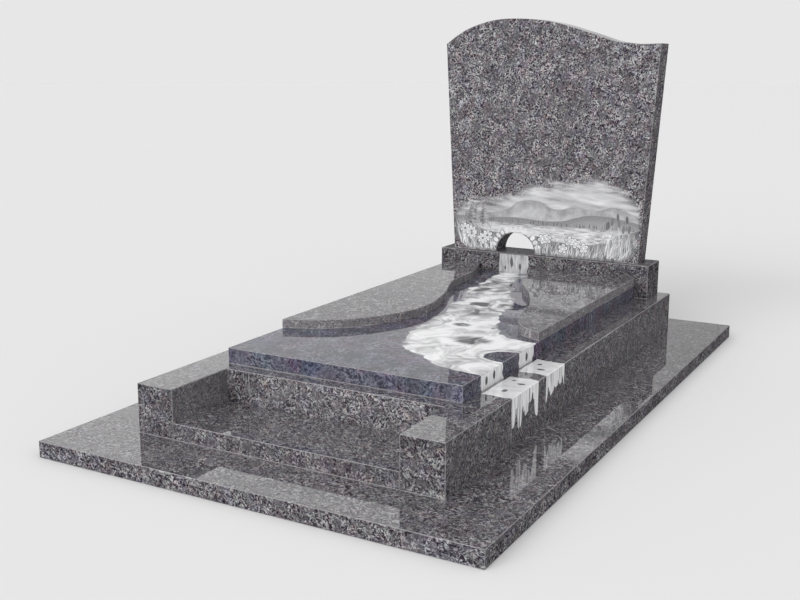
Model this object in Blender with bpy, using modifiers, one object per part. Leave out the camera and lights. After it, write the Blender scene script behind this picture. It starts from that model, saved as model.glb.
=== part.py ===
"""A granite grave monument: base slab, kerb frame, tomb slab with two curved raised slabs, and a headstone.

All sizes are in metres. The origin is the middle of the base slab's underside, on the ground.
+X is to the right as a visitor at the foot end sees it, +Y runs to the headstone, and +Z is up.
"""

import math

import bmesh
import bpy
from mathutils import Vector

# The open joint between two pieces that touch
JOINT = 0.0003
# The small chamfer on every sawn edge
ARRIS = 0.0025
# Edges flatter than this stay unchamfered, so curved sides keep their facets
SHARP_EDGE = math.radians(40)

# The base slab on the ground
SLAB_WIDTH = 1.40
SLAB_LENGTH = 2.40
SLAB_THICK = 0.05

# The frame of kerbs on it
FRAME_WIDTH = 1.00
FRAME_LENGTH = 2.00
KERB_WIDTH = 0.13
FRAME_TOP = 0.20
FRONT_RECESS = 0.25
STEP_TOP = 0.10

# The tomb slab and the two raised slabs on it
TOMB_WIDTH = 0.80
TOMB_FRONT = -0.70
TOMB_TOP = 0.25
BANK_TOP = 0.28

# The headstone and its base
STELE_BASE_WIDTH = 0.90
STELE_BASE_DEPTH = 0.15
STELE_BASE_TOP = 0.33
STELE_THICK = 0.10
STELE_FOOT_WIDTH = 0.80
STELE_SHOULDER_WIDTH = 0.90

# The arch through the headstone's foot
ARCH_CENTRE_X = -0.12
ARCH_RADIUS = 0.085
ARCH_STEPS = 24

# Points that the headstone's wavy top passes through, from its left shoulder to its right, as x and z
STELE_CREST = (
    (-STELE_SHOULDER_WIDTH / 2, 1.185),
    (-0.365, 1.238),
    (-0.255, 1.273),
    (-0.140, 1.281),
    (0.010, 1.266),
    (0.150, 1.227),
    (0.270, 1.189),
    (0.360, 1.177),
    (STELE_SHOULDER_WIDTH / 2, 1.178),
)

# Points along the inner edges of the raised slabs, from the foot end to the headstone, as x and y
BANK_LEFT_EDGE = (
    (-TOMB_WIDTH / 2, -0.412),
    (-0.250, -0.334),
    (-0.135, -0.185),
    (-0.083, 0.000),
    (-0.118, 0.215),
    (-0.197, 0.450),
    (-0.212, 0.660),
    (-0.268, 0.850),
)
BANK_RIGHT_EDGE = (
    (TOMB_WIDTH / 2, -0.155),
    (0.315, -0.097),
    (0.257, 0.030),
    (0.220, 0.205),
    (0.139, 0.395),
    (0.052, 0.545),
    (0.005, 0.710),
    (-0.046, 0.850),
)
CURVE_STEPS = 12

FRAME_BACK = FRAME_LENGTH / 2
FRAME_FRONT = -FRAME_LENGTH / 2
KERB_INNER_X = FRAME_WIDTH / 2 - KERB_WIDTH
HEAD_FRONT = FRAME_BACK - STELE_BASE_DEPTH

BROWN_GRANITE = ("brown_granite", (0.085, 0.078, 0.077), 0.12)
BLUE_GRANITE = ("blue_granite", (0.065, 0.066, 0.082), 0.10)


def clear_scene():
    """Remove whatever the scene holds at the start."""
    for old in list(bpy.data.objects):
        bpy.data.objects.remove(old, do_unlink=True)


def new_collection(name):
    """A collection of this name, linked to the scene."""
    collection = bpy.data.collections.new(name)
    bpy.context.scene.collection.children.link(collection)
    return collection


def stone(look, piece_name):
    """A polished stone material of its own for one piece, from a look's name, colour and roughness."""
    look_name, colour, roughness = look
    material = bpy.data.materials.new(f"{look_name}_{piece_name}")
    material.use_nodes = True
    shader = material.node_tree.nodes["Principled BSDF"]
    shader.inputs["Base Color"].default_value = (*colour, 1.0)
    shader.inputs["Roughness"].default_value = roughness
    shader.inputs["Metallic"].default_value = 0.0
    return material


def finish_piece(piece, look):
    """Give a piece its stone and its chamfered edges."""
    piece.data.materials.append(stone(look, piece.name))
    chamfer = piece.modifiers.new("arris", "BEVEL")
    chamfer.width = ARRIS
    chamfer.segments = 1
    chamfer.limit_method = "ANGLE"
    chamfer.angle_limit = SHARP_EDGE
    chamfer.use_clamp_overlap = True
    return piece


def block(collection, name, look, low, high):
    """A rectangular block between two opposite corners."""
    low, high = Vector(low), Vector(high)
    mesh = bpy.data.meshes.new(name)
    shape = bmesh.new()
    bmesh.ops.create_cube(shape, size=1.0)
    bmesh.ops.scale(shape, vec=high - low, verts=shape.verts)
    shape.to_mesh(mesh)
    shape.free()
    piece = bpy.data.objects.new(name, mesh)
    piece.location = (low + high) / 2
    collection.objects.link(piece)
    return finish_piece(piece, look)


def smooth_path(knots, steps):
    """Points on a smooth curve through all the knots, with this many steps between two of them."""
    knots = [Vector(knot) for knot in knots]
    ends = [2 * knots[0] - knots[1], *knots, 2 * knots[-1] - knots[-2]]
    path = []
    for before, start, end, after in zip(ends, ends[1:], ends[2:], ends[3:]):
        for step in range(steps):
            t = step / steps
            pull = (
                (end - before) * t
                + (2 * before - 5 * start + 4 * end - after) * t**2
                + (3 * start - before - 3 * end + after) * t**3
            )
            path.append(start + pull / 2)
    return path + [knots[-1]]


def arc(centre, radius, start, end, steps):
    """Points on a circle's arc between two angles in degrees, both ends included."""
    angles = [math.radians(start + (end - start) * step / steps) for step in range(steps + 1)]
    return [Vector((centre[0] + radius * math.cos(a), centre[1] + radius * math.sin(a))) for a in angles]


def sawn_plate(collection, name, look, outline, thickness):
    """A plate of even thickness with this outline, centred on its own XY plane, as one closed mesh."""
    curve = bpy.data.curves.new(name, "CURVE")
    curve.dimensions = "2D"
    curve.fill_mode = "BOTH"
    curve.extrude = thickness / 2
    spline = curve.splines.new("POLY")
    spline.points.add(len(outline) - 1)
    for point, (x, y) in zip(spline.points, outline):
        point.co = (x, y, 0.0, 1.0)
    spline.use_cyclic_u = True
    guide = bpy.data.objects.new(name + "_outline", curve)
    collection.objects.link(guide)
    bpy.context.view_layer.update()
    mesh = bpy.data.meshes.new_from_object(guide.evaluated_get(bpy.context.evaluated_depsgraph_get()))
    bpy.data.objects.remove(guide, do_unlink=True)

    shape = bmesh.new()
    shape.from_mesh(mesh)
    bmesh.ops.remove_doubles(shape, verts=shape.verts, dist=0.00005)
    bmesh.ops.dissolve_limit(shape, angle_limit=math.radians(0.5), verts=shape.verts, edges=shape.edges)
    bmesh.ops.recalc_face_normals(shape, faces=shape.faces)
    shape.to_mesh(mesh)
    shape.free()
    mesh.materials.clear()
    piece = bpy.data.objects.new(name, mesh)
    collection.objects.link(piece)
    return finish_piece(piece, look)


def build_base(parts):
    """The base slab, and the frame of kerbs that stands on it."""
    half_width, half_length = SLAB_WIDTH / 2, SLAB_LENGTH / 2
    block(
        parts, "base_slab", BROWN_GRANITE,
        (-half_width, -half_length, 0.0), (half_width, half_length, SLAB_THICK),
    )
    floor = SLAB_THICK + JOINT
    for name, inner, outer in (
        ("kerb_left", -KERB_INNER_X, -FRAME_WIDTH / 2),
        ("kerb_right", KERB_INNER_X, FRAME_WIDTH / 2),
    ):
        block(
            parts, name, BROWN_GRANITE,
            (min(inner, outer), FRAME_FRONT, floor), (max(inner, outer), FRAME_BACK, FRAME_TOP),
        )
    between = KERB_INNER_X - JOINT
    rail_front = FRAME_FRONT + FRONT_RECESS
    block(
        parts, "front_step", BROWN_GRANITE,
        (-between, FRAME_FRONT, floor), (between, rail_front - JOINT, STEP_TOP),
    )
    block(
        parts, "front_rail", BROWN_GRANITE,
        (-between, rail_front, floor), (between, rail_front + KERB_WIDTH, FRAME_TOP),
    )
    block(
        parts, "back_rail", BROWN_GRANITE,
        (-between, FRAME_BACK - KERB_WIDTH, floor), (between, FRAME_BACK, FRAME_TOP),
    )


def build_tomb(parts):
    """The tomb slab, and the two thin raised slabs that leave a winding channel between them."""
    half_width = TOMB_WIDTH / 2
    back = HEAD_FRONT - JOINT
    block(
        parts, "tomb_slab", BLUE_GRANITE,
        (-half_width, TOMB_FRONT, FRAME_TOP + JOINT), (half_width, back, TOMB_TOP),
    )
    thickness = BANK_TOP - TOMB_TOP - JOINT
    for name, side, edge in (
        ("bank_left", -half_width, BANK_LEFT_EDGE),
        ("bank_right", half_width, BANK_RIGHT_EDGE),
    ):
        inner = smooth_path(edge, CURVE_STEPS)
        inner[-1] = Vector((inner[-1].x, back))
        outline = [*inner, Vector((side, back))]
        bank = sawn_plate(parts, name, BROWN_GRANITE, outline, thickness)
        bank.location.z = BANK_TOP - thickness / 2


def build_headstone(parts):
    """The headstone's base, and the headstone in its middle with a wavy top and an arch through its foot."""
    half_base = STELE_BASE_WIDTH / 2
    block(
        parts, "stele_base", BROWN_GRANITE,
        (-half_base, HEAD_FRONT, FRAME_TOP + JOINT), (half_base, FRAME_BACK, STELE_BASE_TOP),
    )
    foot = STELE_BASE_TOP + JOINT
    half_foot = STELE_FOOT_WIDTH / 2
    outline = [
        Vector((-half_foot, foot)),
        *arc((ARCH_CENTRE_X, foot), ARCH_RADIUS, 180, 0, ARCH_STEPS),
        Vector((half_foot, foot)),
        *reversed(smooth_path(STELE_CREST, CURVE_STEPS)),
    ]
    stele = sawn_plate(parts, "stele", BROWN_GRANITE, outline, STELE_THICK)
    stele.rotation_euler.x = math.radians(90)
    stele.location.y = (HEAD_FRONT + FRAME_BACK) / 2


def main():
    clear_scene()
    parts = new_collection("grave_monument")
    build_base(parts)
    build_tomb(parts)
    build_headstone(parts)


main()
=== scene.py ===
"""Polished granite grave monument: the finish of every stone, its etched picture, and a plain studio.

Sizes are in metres, in the solid model's frame. The origin is the middle of the base slab's underside,
+X is to the right for a visitor at the foot end, +Y runs to the headstone, and +Z is up.
"""

import logging
import math
from dataclasses import dataclass, replace
from enum import Enum
from typing import Callable, Iterable, Sequence

import bmesh
import bpy
from bmesh.types import BMesh
from bpy.types import Material, Node, NodeSocket, Object
from mathutils import Matrix, Vector
from mathutils.geometry import delaunay_2d_cdt


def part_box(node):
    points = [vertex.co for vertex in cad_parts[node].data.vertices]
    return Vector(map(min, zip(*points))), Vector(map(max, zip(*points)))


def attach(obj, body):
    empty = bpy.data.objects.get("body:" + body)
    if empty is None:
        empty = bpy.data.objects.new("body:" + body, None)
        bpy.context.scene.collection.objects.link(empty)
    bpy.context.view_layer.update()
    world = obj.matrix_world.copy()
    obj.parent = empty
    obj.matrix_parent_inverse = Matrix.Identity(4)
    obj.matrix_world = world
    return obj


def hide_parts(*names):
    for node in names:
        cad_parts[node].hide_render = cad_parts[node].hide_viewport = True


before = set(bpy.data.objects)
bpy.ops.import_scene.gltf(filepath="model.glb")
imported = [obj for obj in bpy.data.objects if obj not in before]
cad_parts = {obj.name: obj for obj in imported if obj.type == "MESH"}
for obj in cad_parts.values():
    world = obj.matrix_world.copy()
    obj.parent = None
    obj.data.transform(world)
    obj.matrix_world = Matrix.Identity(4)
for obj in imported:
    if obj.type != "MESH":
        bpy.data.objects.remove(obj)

Colour = tuple[float, float, float]
Pair = tuple[float, float]
Knots = tuple[Pair, ...]
# The middle and the radii of each of several ovals
Ovals = tuple[tuple[Pair, Pair], ...]

LOG = logging.getLogger("grave_monument")
BODY = "root"
LINE_LAYER = "etched_line"
# How rough the film of wax on the tops is
WAX_ROUGHNESS = 0.010

# The slots of a stone's finishes
TOP_SLOT, FRONT_SLOT, SIDE_SLOT, BED_SLOT, ARRIS_SLOT, JOINT_SLOT = range(6)

# The arch through the headstone's foot
ARCH_X = -0.12
ARCH_RADIUS = 0.085

# The properties of a mark in the etched picture
MARK = ("x", "z", "lean", "bend", "length", "width", "tone")

# The middle of a random colour, and the soft edge of a strip
MIDDLE = (0.5, 0.5, 0.5)
EDGE = 0.002

# Least part of a flat front's normal that points to the front
FLAT = 0.99


class Stone(Enum):
    """The two granites, by their slots in the record."""

    BROWN = "brown_granite"
    BLUE = "blue_granite"


def operator(operation: str, swapped: bool = False) -> Callable[["Value", "Value | float"], "Value"]:
    """A method for one of Python's operators.

    Args:
        operation: what the Math node does that it adds.
        swapped: whether the Value comes second, as in 1 - mask.

    Returns:
        The method.
    """
    def method(self: "Value", other: "Value | float") -> "Value":
        """The result of the Math node."""
        return self.sheet.math(operation, *((other, self) if swapped else (self, other)))
    return method


class Value:
    """A number that varies over a surface. Python's operators on it add Math nodes."""

    def __init__(self, sheet: "Sheet", socket: NodeSocket) -> None:
        """Wrap an output socket of one of the sheet's nodes."""
        self.sheet = sheet
        self.socket = socket

    __add__, __radd__ = operator("ADD"), operator("ADD", swapped=True)
    __sub__, __rsub__ = operator("SUBTRACT"), operator("SUBTRACT", swapped=True)
    __mul__, __rmul__ = operator("MULTIPLY"), operator("MULTIPLY", swapped=True)
    __truediv__, __rtruediv__ = operator("DIVIDE"), operator("DIVIDE", swapped=True)
    __pow__, __rpow__ = operator("POWER"), operator("POWER", swapped=True)

    def over(self, low: float, high: float) -> "Value":
        """A soft step of this value, 0 up to low and 1 from high on. Low may be the greater of the two."""
        sockets = {"Value": self, "From Min": low, "From Max": high}
        return self.sheet.value("MapRange", {"interpolation_type": "SMOOTHSTEP"}, sockets)

    def within(self, limits: Pair, wander: "Value") -> "Value":
        """1 between two limits that wander by this much to either side."""
        return (self - limits[0] + wander).over(0.0, EDGE) * (limits[1] - self + wander).over(0.0, EDGE)

    def blend(self, other: "Value | float", share: "Value | float") -> "Value":
        """This value where the share is 0, and the other where it is 1."""
        return self + (other - self) * share


class Sheet:
    """One node tree in the making."""

    def __init__(self, tree: bpy.types.NodeTree) -> None:
        """Start with an empty tree."""
        self.tree = tree
        tree.nodes.clear()

    def node(self, kind: str, settings: dict | None = None, sockets: dict | None = None) -> Node:
        """Add a node.

        Args:
            kind: the node's type, for a shader node without the word ShaderNode in front.
            settings: the node's own settings; "knots" are the points of a curve.
            sockets: a number, colour, Value or output socket for each input, by name or index.

        Returns:
            The new node.
        """
        made = self.tree.nodes.new(kind if "Node" in kind else "ShaderNode" + kind)
        for name, value in (settings or {}).items():
            if name == "knots":
                self._set_knots(made.mapping, value)
            else:
                setattr(made, name, value)
        for key, value in (sockets or {}).items():
            self.feed(made.inputs[key], value)
        return made

    def value(
        self, kind: str, settings: dict | None = None, sockets: dict | None = None, output: int | str = 0,
    ) -> Value:
        """What a new node gives at one of its outputs."""
        return Value(self, self.node(kind, settings, sockets).outputs[output])

    def feed(self, socket: NodeSocket, value: object) -> None:
        """Link a Value or an output socket to an input, or set the input's own number or colour.

        Args:
            socket: the input.
            value: what it takes.
        """
        if isinstance(value, Value):
            value = value.socket
        if isinstance(value, NodeSocket):
            self.tree.links.new(value, socket)
        elif socket.type == "RGBA":
            socket.default_value = (*value, 1.0)
        else:
            socket.default_value = value

    @staticmethod
    def _set_knots(mapping: bpy.types.CurveMapping, knots: Sequence[Pair]) -> None:
        """Lay a new node's curve through points.

        Args:
            mapping: the node's curve.
            knots: the points, from left to right within 0 and 1.
        """
        points = mapping.curves[0].points
        points[0].location, points[1].location = knots[0], knots[-1]
        for knot in knots[1:-1]:
            points.new(*knot)
        mapping.update()

    def math(self, operation: str, *values: Value | float) -> Value:
        """The result of one Math node on up to three values."""
        return self.value("Math", {"operation": operation}, dict(enumerate(values)))

    def vector(self, operation: str, *vectors: object) -> NodeSocket:
        """The result of one Vector Math node."""
        return self.node("VectorMath", {"operation": operation}, dict(enumerate(vectors))).outputs[0]

    def scaled(self, vector: object, factor: Value | float) -> NodeSocket:
        """A vector times a number."""
        return self.node("VectorMath", {"operation": "SCALE"}, {0: vector, "Scale": factor}).outputs[0]

    def mix(self, share: Value | float, first: object, second: object, blend: str = "MIX") -> NodeSocket:
        """A colour between two, which is the first where the share is 0."""
        settings = {"data_type": "RGBA", "blend_type": blend, "clamp_factor": True}
        return self.node("Mix", settings, {0: share, 6: first, 7: second}).outputs[2]

    def axes(self, place: NodeSocket) -> tuple[Value, ...]:
        """The x, y and z of a point."""
        return tuple(Value(self, part) for part in self.node("SeparateXYZ", sockets={0: place}).outputs)

    def noise(
        self, place: object, scale: float, detail: float = 2.0, rough: float = 0.5, output: int = 0,
    ) -> Value:
        """A Noise node with this many lumps to the metre, which gives its colour at output 1."""
        sockets = {"Vector": place, "Scale": scale, "Detail": detail, "Roughness": rough}
        return self.value("TexNoise", None, sockets, output)

    def lumps(self, parts: Sequence[Value | float], detail: float = 2.0, rough: float = 0.5) -> Value:
        """A Noise value around 0, at a point given by its three coordinates in lumps."""
        place = self.node("CombineXYZ", sockets=dict(enumerate(parts))).outputs[0]
        return self.noise(place, 1.0, detail, rough) - 0.5

    def curve(self, value: Value, knots: Sequence[Pair]) -> Value:
        """A smooth curve through points, read at this value.

        Args:
            value: where to read it.
            knots: the curve's points as place and height, from left to right.

        Returns:
            The curve's height there.
        """
        start, end = knots[0][0], knots[-1][0]
        low, high = min(knot[1] for knot in knots), max(knot[1] for knot in knots)
        shares = [((place - start) / (end - start), (height - low) / (high - low)) for place, height in knots]
        read = self.value("FloatCurve", {"knots": shares}, {"Value": (value - start) / (end - start)})
        return read * (high - low) + low

    def oval(self, across: Value, along: Value, middle: Pair, radii: Pair) -> Value:
        """How far out a point lies in an oval: 0 in its middle and 1 on its rim."""
        first, second = (across - middle[0]) / radii[0], (along - middle[1]) / radii[1]
        return (first * first + second * second) ** 0.5


class Plan(Sheet):
    """A Geometry Nodes tree in the making, with a named input for each size of what it repeats."""

    SOCKETS = {int: "NodeSocketInt", float: "NodeSocketFloat"}

    def __init__(self, name: str, sizes: dict[str, int | float]) -> None:
        """Start a tree.

        Args:
            name: the tree's name.
            sizes: name and value of each input.
        """
        tree = bpy.data.node_groups.new(name, "GeometryNodeTree")
        super().__init__(tree)
        tree.interface.new_socket("Geometry", in_out="OUTPUT", socket_type="NodeSocketGeometry")
        self.inputs = {}
        for size, value in sizes.items():
            socket = tree.interface.new_socket(size, in_out="INPUT", socket_type=self.SOCKETS[type(value)])
            self.inputs[socket.identifier] = value
        self.sizes = tree.nodes.new("NodeGroupInput").outputs
        self.index = self.value("GeometryNodeInputIndex")

    def __getitem__(self, size: str) -> Value:
        """The input of this name."""
        return Value(self, self.sizes[size])

    def geometry(self, kind: str, sockets: dict | None = None, settings: dict | None = None) -> NodeSocket:
        """What a new node gives, named without the word GeometryNode in front."""
        return self.node("GeometryNode" + kind, settings, sockets).outputs[0]

    def random(self, limits: str | tuple[float, float], salt: int, number: Value | None = None) -> Value:
        """A random number for each mark.

        Args:
            limits: the least and the most that it can be, or the name of such a pair of inputs.
            salt: added to the seed, so that two properties differ.
            number: what the random number belongs to, if not the mark's own index.

        Returns:
            The random number.
        """
        low, high = (self[limits + " from"], self[limits + " to"]) if isinstance(limits, str) else limits
        sockets = {2: low, 3: high, "ID": number or self.index, "Seed": self["seed"] + salt}
        return self.value("FunctionNodeRandomValue", None, sockets, 1)

    def stem_number(self) -> Value:
        """The number of the stem that a mark sits on."""
        return self.math("FLOOR", (self.index + 0.5) / self["each"])

    def keep(self, geometry: NodeSocket, name: str, value: Value | float) -> NodeSocket:
        """Store a number on each point of a geometry, under this name."""
        return self.geometry("StoreNamedAttribute", {"Geometry": geometry, "Name": name, "Value": value})

    def kept(self, name: str) -> Value:
        """A stored number."""
        return Value(self, self.geometry("InputNamedAttribute", {"Name": name}))

    def swept(
        self, x: Value, z: Value, lean: Value, bend: Value | float, length: Value, share: Value | float,
    ) -> tuple[Value, Value]:
        """A point on a curved stroke.

        Args:
            x: the stroke's root, across.
            z: the root's height.
            lean: its direction there, from upright to the right.
            bend: how far it turns over its whole length.
            length: its length.
            share: how far along it the point lies, from 0 to 1.

        Returns:
            The point's x and z.
        """
        ahead, aside = length * share, length * share * share * bend * 0.5
        sine, cosine = self.math("SINE", lean), self.math("COSINE", lean)
        return x + ahead * sine + aside * cosine, z + ahead * cosine - aside * sine

    def finish(self, mark: Sequence[Value | float], material: Material) -> None:
        """Turn the marks' properties into flat outlines that stand in the XZ plane.

        Args:
            mark: the properties of each mark, in the order of MARK.
            material: what they are dressed in.
        """
        points = self.geometry("Points", {"Count": self["count"] * self["each"]})
        for name, value in zip(MARK, mark):
            points = self.keep(points, name, value)
        disc = self.geometry("MeshCircle", {"Vertices": self["corners"]}, {"fill_type": "NGON"})
        ahead, aside, _ = self.axes(self.geometry("InputPosition"))
        disc = self.keep(self.keep(disc, "ahead", ahead * 0.5 + 0.5), "aside", aside * -0.5)
        copies = self.geometry("InstanceOnPoints", {"Points": points, "Instance": disc})
        real = self.geometry("RealizeInstances", {"Geometry": copies})

        x, z, lean, bend, length, width = map(self.kept, MARK[:-1])
        share = self.kept("ahead")
        middle_x, middle_z = self.swept(x, z, lean, bend, length, share)
        half = self.kept("aside") * width * (1.0 - share) ** self["slim_tip"] * share ** self["slim_root"]
        turn = lean + bend * share
        sine, cosine = self.math("SINE", turn), self.math("COSINE", turn)
        sockets = {0: middle_x + half * cosine, 2: middle_z - half * sine}
        place = self.node("CombineXYZ", sockets=sockets).outputs[0]
        laid = self.geometry("SetPosition", {"Geometry": real, "Position": place})
        dressed = self.geometry("SetMaterial", {"Geometry": laid, "Material": material})
        self.tree.links.new(dressed, self.tree.nodes.new("NodeGroupOutput").inputs[0])


@dataclass(frozen=True)
class Line:
    """One line or dot of the picture.

    Attributes:
        outline: its corners on the face, as x and z.
        tone: how pale it is, from 0 to 1.
    """

    outline: list[Vector]
    tone: float


@dataclass(frozen=True)
class Motif:
    """Marks that are scattered over a band of the picture, such as grass. Each is a tapered, bent stroke.

    Attributes:
        seed: start of its random numbers.
        count: number of stems, which are the marks themselves where each is 1.
        across: where the band starts and ends.
        roots: heights of the lowest and the highest roots.
        length: lengths of the shortest and the longest stem.
        width: a mark's width before it tapers.
        tones: tones of the dimmest and the brightest mark.
        each: marks on each stem.
        corners: corners of a mark's outline.
        tilt: a stem's usual lean from upright, in radians.
        sway: how far the lean differs from stem to stem.
        fan: how much more a stem leans for each metre from the middle.
        curl: how far a stem bends to either side, at most.
        slim_tip: how strongly a mark tapers to its tip.
        slim_root: how strongly it tapers to its root.
    """

    seed: int
    count: int
    across: Pair
    roots: Pair
    length: Pair
    width: float
    tones: Pair
    each: int = 1
    corners: int = 10
    tilt: float = 0.0
    sway: float = 0.3
    fan: float = 0.0
    curl: float = 0.6
    slim_tip: float = 0.9
    slim_root: float = 0.0

    def sizes(self) -> dict[str, int | float]:
        """Every size by its name, with the two of a pair apart."""
        pairs = {name: size for name, size in vars(self).items() if isinstance(size, tuple)}
        starts = {name + " from": low for name, (low, _) in pairs.items()}
        ends = {name + " to": high for name, (_, high) in pairs.items()}
        return starts | ends | {name: size for name, size in vars(self).items() if name not in pairs}

    def bearing(self, kind: "type[Motif]", **sizes: object) -> "Motif":
        """A motif of another kind on these same stems, with some sizes of its own."""
        return kind(**(vars(self) | sizes))

    def heads(
        self, each: int, width: float, size: float, back: float, tones: Pair, **sizes: object,
    ) -> "Motif":
        """Blunt heads or petals on the tips of these stems, by the sizes of Heads."""
        own = {"each": each, "width": width, "size": size, "back": back, "tones": tones}
        return self.bearing(Heads, **({"corners": 12, "slim_tip": 0.0} | own | sizes))

    def stem(self, plan: Plan, number: Value | None = None) -> tuple[Value, Value, Value, Value, Value]:
        """A stem's root, lean, bend and length.

        Args:
            plan: the tree in the making.
            number: the stem's number, if not the mark's own index.

        Returns:
            Its x, z, lean, bend and length.
        """
        x, z = plan.random("across", 1, number), plan.random("roots", 2, number)
        length = plan.random("length", 3, number)
        lean = plan["tilt"] + x * plan["fan"] + plan.random((-1.0, 1.0), 4, number) * plan["sway"]
        bend = plan.random((-1.0, 1.0), 5, number) * plan["curl"]
        return x, z, lean, bend, length

    def mark(self, plan: Plan) -> tuple[Value | float, ...]:
        """Properties of each mark, in the order of MARK."""
        return (*self.stem(plan), plan["width"], plan.random("tones", 6))

    def lines(self, material: Material) -> list[Line]:
        """Grow the marks and read them back, those whose lowest point is highest first.

        Args:
            material: what they are dressed in.

        Returns:
            The marks as flat lines.
        """
        name = type(self).__name__.lower()
        plan = Plan(name, self.sizes())
        plan.finish(self.mark(plan), material)
        carrier = new_object(name, bpy.data.meshes.new(name))
        modifier = carrier.modifiers.new(name, "NODES")
        modifier.node_group = plan.tree
        for identifier, value in plan.inputs.items():
            modifier[identifier] = value
        seen = bpy.context.evaluated_depsgraph_get()
        mesh = bpy.data.meshes.new_from_object(
            carrier.evaluated_get(seen), preserve_all_data_layers=True, depsgraph=seen,
        )
        tones = mesh.attributes["tone"].data
        found = []
        for polygon in mesh.polygons:
            outline = [mesh.vertices[index].co.xz for index in polygon.vertices]
            found.append(Line(outline, tones[polygon.vertices[0]].value))
        bpy.data.objects.remove(carrier, do_unlink=True)
        bpy.data.meshes.remove(mesh)
        return sorted(found, key=lambda line: -min(corner.y for corner in line.outline))


@dataclass(frozen=True)
class Heads(Motif):
    """What sits on the tips of another motif's stems, such as petals or a reed's head.

    Attributes:
        size: length of a mark.
        back: how far behind the stem's tip it starts.
    """

    size: float = 0.010
    back: float = 0.0

    def mark(self, plan: Plan) -> tuple[Value | float, ...]:
        """Marks in even steps round the tip of each stem, in line with it where each is 1."""
        number = plan.stem_number()
        x, z, lean, bend, length = self.stem(plan, number)
        x, z = plan.swept(x, z, lean, bend, length, 1.0)
        turn = lean + bend + (plan.index - number * plan["each"]) * math.tau / plan["each"]
        x = x - plan.math("SINE", turn) * plan["back"]
        z = z - plan.math("COSINE", turn) * plan["back"]
        return x, z, turn, 0.0, plan["size"], plan["width"], plan.random("tones", 6)


@dataclass(frozen=True)
class Boughs(Motif):
    """Drooping boughs on both sides of upright stems, longer from the tip down, for fir trees.

    Attributes:
        spread: length of the lowest bough, as a share of the tree's height.
        droop: a bough's angle from upright, in radians.
    """

    spread: float = 0.34
    droop: float = 1.95

    def mark(self, plan: Plan) -> tuple[Value | float, ...]:
        """Boughs to the left and the right in turn, up each stem."""
        number = plan.stem_number()
        x, z, _, _, height = self.stem(plan, number)
        step = plan.index - number * plan["each"]
        share = (step + 1.0) / (plan["each"] + 1.0)
        side = (step - plan.math("FLOOR", step * 0.5 + 0.25) * 2.0) * 2.0 - 1.0
        length = height * plan["spread"] * ((1.0 - share) ** 0.85) * plan.random((0.75, 1.15), 7) + 0.002
        tone = plan.random("tones", 6) + side * 0.08
        z = z + height * (share * 0.90 + 0.06)
        lean = side * plan["droop"] * plan.random((0.94, 1.06), 8)
        return x, z, lean, side * -0.5, length, height * plan["width"], tone


@dataclass(frozen=True)
class Ring(Motif):
    """Marks in even steps round an arch, each lying along it, such as its rounded stones.

    Attributes:
        radius: distance of the marks' middles from the arch's middle, which is where across and roots start.
        size: length of a mark.
    """

    radius: float = 0.10
    size: float = 0.03

    def mark(self, plan: Plan) -> tuple[Value | float, ...]:
        """Marks from the arch's right foot over its crown to its left foot."""
        angle = (plan.index + 0.5) * math.pi / plan["count"]
        sine, cosine = plan.math("SINE", angle), plan.math("COSINE", angle)
        size = plan["size"] * plan.random((0.88, 1.06), 3)
        radius = plan["radius"] * plan.random((0.985, 1.015), 4)
        x = plan["across from"] + cosine * radius + sine * size * 0.5
        z = plan["roots from"] + sine * radius - cosine * size * 0.5
        width = plan["width"] * plan.random((0.85, 1.1), 5)
        return x, z, angle * -1.0, 0.0, size, width, plan.random("tones", 6)


@dataclass(frozen=True)
class Finish:
    """How smooth a sawn face is left, and how much paler it is made, partly as painted light.

    Attributes:
        name: ending of the material's name.
        roughness: the shader's roughness.
        refraction: the index of refraction that gives its gloss.
        bloom: how much paler the face is made than the stone: on the arris partly from its honing and partly
            as a painted edge highlight, on the joint strip as a painted edge highlight, and on some sides as
            painted light.
        wax: how much of the face is under a film of wax, which mirrors the sky on the flat tops.
        mottle: how far clumps of grains differ in tone.
        coarse: how much larger than in an upright face the grains show, because the laths lie mostly flat.
    """

    name: str
    roughness: float
    refraction: float
    bloom: float = 0.0
    wax: float = 0.0
    mottle: float = 1.3
    coarse: float = 1.0


@dataclass(frozen=True)
class Tint:
    """A hue that the stone takes on in soft patches.

    Attributes:
        hue: what it multiplies the stone's colour by.
        patches: number of patches to the metre.
        least: value of the patches' noise where they start.
        full: value where they are strongest.
    """

    hue: Colour
    patches: float
    least: float = 0.50
    full: float = 0.66


def side_finish(bloom: float = 0.0) -> Finish:
    """The finish of the sides, made this much paler as painted light."""
    return Finish("side", 0.060, 1.09, bloom=bloom)


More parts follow.
